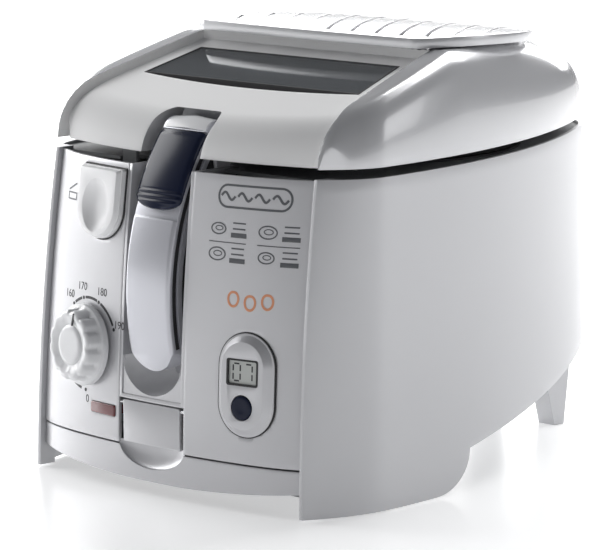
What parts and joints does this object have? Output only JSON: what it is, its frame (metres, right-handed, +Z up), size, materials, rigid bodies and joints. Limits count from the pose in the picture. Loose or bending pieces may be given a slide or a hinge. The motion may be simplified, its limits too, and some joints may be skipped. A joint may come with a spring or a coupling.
{
  "type": "deep fryer",
  "caption": "Household deep fryer, pearl white, with a hinged windowed lid, lift-off filter cover, fold-out basket handle, driven tilted basket, dial, timer and drain door.",
  "frame": {"origin": "centre of the bounding box in plan, at the height of the feet's undersides", "axes": "+Z up, -Y out of the control front, +X to the right of someone facing the front"},
  "size_m": [0.27, 0.3738, 0.2743],
  "materials": {
    "pearl_plastic": "satin pearl silver-white moulding",
    "white_plastic": "satin white moulding",
    "lavender_plastic": "satin silver-lavender moulding",
    "navy_plastic": "glossy dark navy moulding",
    "grey_plastic": "fine-grained mid grey moulding",
    "black_plastic": "matte black moulding",
    "smoked_window": "grey tinted clear pane",
    "red_lens": "dark red translucent lens",
    "lcd": "grey display face",
    "board_green": "lacquered circuit board",
    "rubber": "matte elastomer",
    "nonstick": "dark non-stick coating",
    "steel": "brushed sheet",
    "chrome": "bright plated wire and pins",
    "aluminium": "pressed sheet, satin",
    "brass": "turned",
    "filter_felt": "felt mat"
  },
  "bodies": {
    "housing": {"side_shell": "pearl_plastic", "front_panel": "pearl_plastic", "front_skirt": "pearl_plastic", "base_plate": "grey_plastic", "rim_deck": "grey_plastic", "handle_channel": "pearl_plastic", "bowl": "nonstick", "heating_element": "steel", "thermostat": "white_plastic", "thermostat_bulb": "brass", "thermal_cutout": "white_plastic", "indicator_lens": "red_lens", "neon_lamp": "red_lens", "timer_bezel": "pearl_plastic", "timer_display": "lcd", "timer_board": "board_green", "timer_battery": "chrome", "gear_motor": "steel", "motor_bracket": "steel", "drive_bush": "brass", "drain_tube": "rubber", "drain_cap": "red_lens", "button_spring": "chrome", "rubber_feet": "rubber", "base_screws": "steel", "hinge_bracket": "steel", "cord_inlet": "black_plastic", "terminal_block": "white_plastic", "door_pin": "chrome", "handle_pivot_pin": "chrome", "lid_hinge_pin": "chrome"},
    "lid": {"lid_shell": "pearl_plastic", "lid_inner_pan": "aluminium", "lid_gasket": "rubber", "window": "smoked_window", "window_gasket": "rubber", "lid_striker": "steel", "grease_filter": "steel", "charcoal_filter": "filter_felt"},
    "filter_lid": {"filter_cover": "pearl_plastic"},
    "button": {"release_button": "white_plastic"},
    "knob": {"temperature_knob": "white_plastic", "knob_shaft": "steel"},
    "timer_key": {"timer_button": "navy_plastic"},
    "door": {"drain_door": "pearl_plastic"},
    "handle_arm": {"handle": "lavender_plastic", "slider_spring": "chrome"},
    "slider": {"handle_slider": "navy_plastic"},
    "carrier": {"basket_carrier": "chrome"},
    "basket_body": {"basket": "chrome"},
    "drive": {"drive_gear": "white_plastic", "drive_shaft": "steel"},
    "pinion": {"motor_pinion": "white_plastic"}
  },
  "joints": [
    {"name": "lid_hinge", "type": "hinge", "parent": "housing", "child": "lid", "pos_m": [0, 0.17592, 0.214], "axis": [-1, 0, 0], "range_deg": [0, 75]},
    {"name": "filter_cover_lift", "type": "slide", "parent": "lid", "child": "filter_lid", "axis": [0, 0, 1], "range_m": [0, 0.03]},
    {"name": "handle_fold", "type": "hinge", "parent": "housing", "child": "handle_arm", "pos_m": [0, -0.13262, 0.21749], "axis": [-1, 0, 0], "range_deg": [0, 85]},
    {"name": "handle_slider", "type": "hinge", "parent": "handle_arm", "child": "slider", "pos_m": [0, -0.01132, 0.121], "axis": [1, 0, 0], "range_deg": [0, 1.6], "stiffness_Nm_per_rad": 4, "springref_deg": -1.15},
    {"name": "basket_lift", "type": "slide", "parent": "housing", "child": "carrier", "axis": [0, -0.1736, 0.9848], "range_m": [0, 0.02]},
    {"name": "basket_spin", "type": "hinge", "parent": "carrier", "child": "basket_body", "pos_m": [0, 0.02278, 0.07], "axis": [0, -0.1736, 0.9848], "continuous": true},
    {"name": "drive_spin", "type": "hinge", "parent": "housing", "child": "drive", "pos_m": [0, 0.02278, 0.07], "axis": [0, -0.1736, 0.9848], "continuous": true},
    {"name": "pinion_spin", "type": "hinge", "parent": "housing", "child": "pinion", "pos_m": [0, 0.08187, 0.08042], "axis": [0, -0.1736, 0.9848], "continuous": true},
    {"name": "temperature_knob", "type": "hinge", "parent": "housing", "child": "knob", "pos_m": [-0.061, -0.16874, 0.086], "axis": [-0.1349, -0.989, 0.0604], "range_deg": [-52, 190]},
    {"name": "release_button", "type": "slide", "parent": "housing", "child": "button", "axis": [0.1341, 0.9838, -0.1192], "range_m": [0, 0.003], "stiffness_N_per_m": 800, "springref_m": -0.002},
    {"name": "timer_button", "type": "slide", "parent": "housing", "child": "timer_key", "axis": [-0.1808, 0.9817, -0.0596], "range_m": [0, 0.001], "stiffness_N_per_m": 500, "springref_m": -0.001},
    {"name": "drain_door", "type": "hinge", "parent": "housing", "child": "door", "pos_m": [0, -0.17162, 0.055], "axis": [-1, 0, 0], "range_deg": [0, 80]}
  ],
  "couplings": [
    {"joint": "basket_lift", "follows": "handle_fold", "m_per_rad": 0.013481},
    {"joint": "drive_spin", "follows": "basket_spin", "ratio": 1},
    {"joint": "pinion_spin", "follows": "basket_spin", "ratio": -3}
  ]
}
